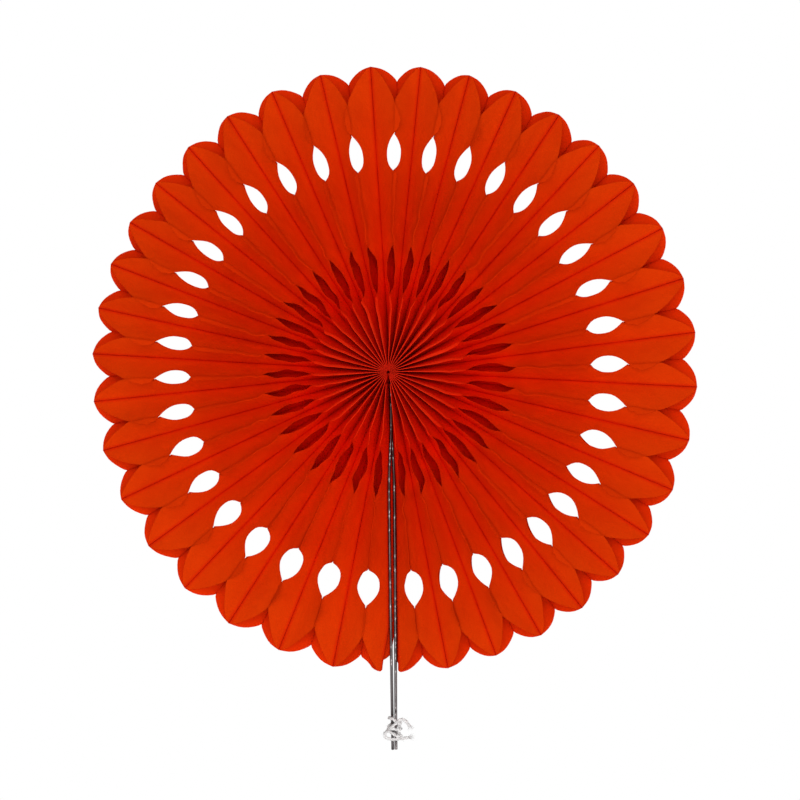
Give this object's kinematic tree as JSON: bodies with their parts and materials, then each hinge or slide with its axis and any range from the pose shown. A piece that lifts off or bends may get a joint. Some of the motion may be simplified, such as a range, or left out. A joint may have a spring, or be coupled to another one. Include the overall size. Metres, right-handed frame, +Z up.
{
  "type": "paper fan rosette",
  "caption": "Round hanging fan of die-cut tissue leaves opened to a full pleated rosette, with two rows of almond cut-outs, scalloped rim and two end wires tied together with string.",
  "frame": {"origin": "centre of the small hole at the hub, half way through the fan's depth", "axes": "+Z up, with the wire stem pointing down; the front of the fan faces -Y; +X to the right seen from the front"},
  "size_m": [0.3006, 0.035, 0.3392],
  "materials": {
    "orange_tissue": "matt tissue, orange-red",
    "steel_wire": "drawn bright wire",
    "white_string": "twisted cotton"
  },
  "bodies": {
    "root": {"paper_cell_01": "orange_tissue", "paper_cell_02": "orange_tissue", "paper_cell_03": "orange_tissue", "paper_cell_04": "orange_tissue", "paper_cell_05": "orange_tissue", "paper_cell_06": "orange_tissue", "paper_cell_07": "orange_tissue", "paper_cell_08": "orange_tissue", "paper_cell_09": "orange_tissue", "paper_cell_10": "orange_tissue", "paper_cell_11": "orange_tissue", "paper_cell_12": "orange_tissue", "paper_cell_13": "orange_tissue", "paper_cell_14": "orange_tissue", "paper_cell_15": "orange_tissue", "paper_cell_16": "orange_tissue", "paper_cell_17": "orange_tissue", "paper_cell_18": "orange_tissue", "paper_cell_19": "orange_tissue", "paper_cell_20": "orange_tissue", "paper_cell_21": "orange_tissue", "paper_cell_22": "orange_tissue", "paper_cell_23": "orange_tissue", "paper_cell_24": "orange_tissue", "paper_cell_25": "orange_tissue", "paper_cell_26": "orange_tissue", "paper_cell_27": "orange_tissue", "paper_cell_28": "orange_tissue", "paper_cell_29": "orange_tissue", "paper_cell_30": "orange_tissue", "paper_cell_31": "orange_tissue", "paper_cell_32": "orange_tissue", "paper_cell_33": "orange_tissue", "paper_cell_34": "orange_tissue", "paper_cell_35": "orange_tissue", "paper_cell_36": "orange_tissue", "paper_cell_37": "orange_tissue", "left_wire": "steel_wire", "right_wire": "steel_wire", "tie_string": "white_string"}
  },
  "joints": []
}
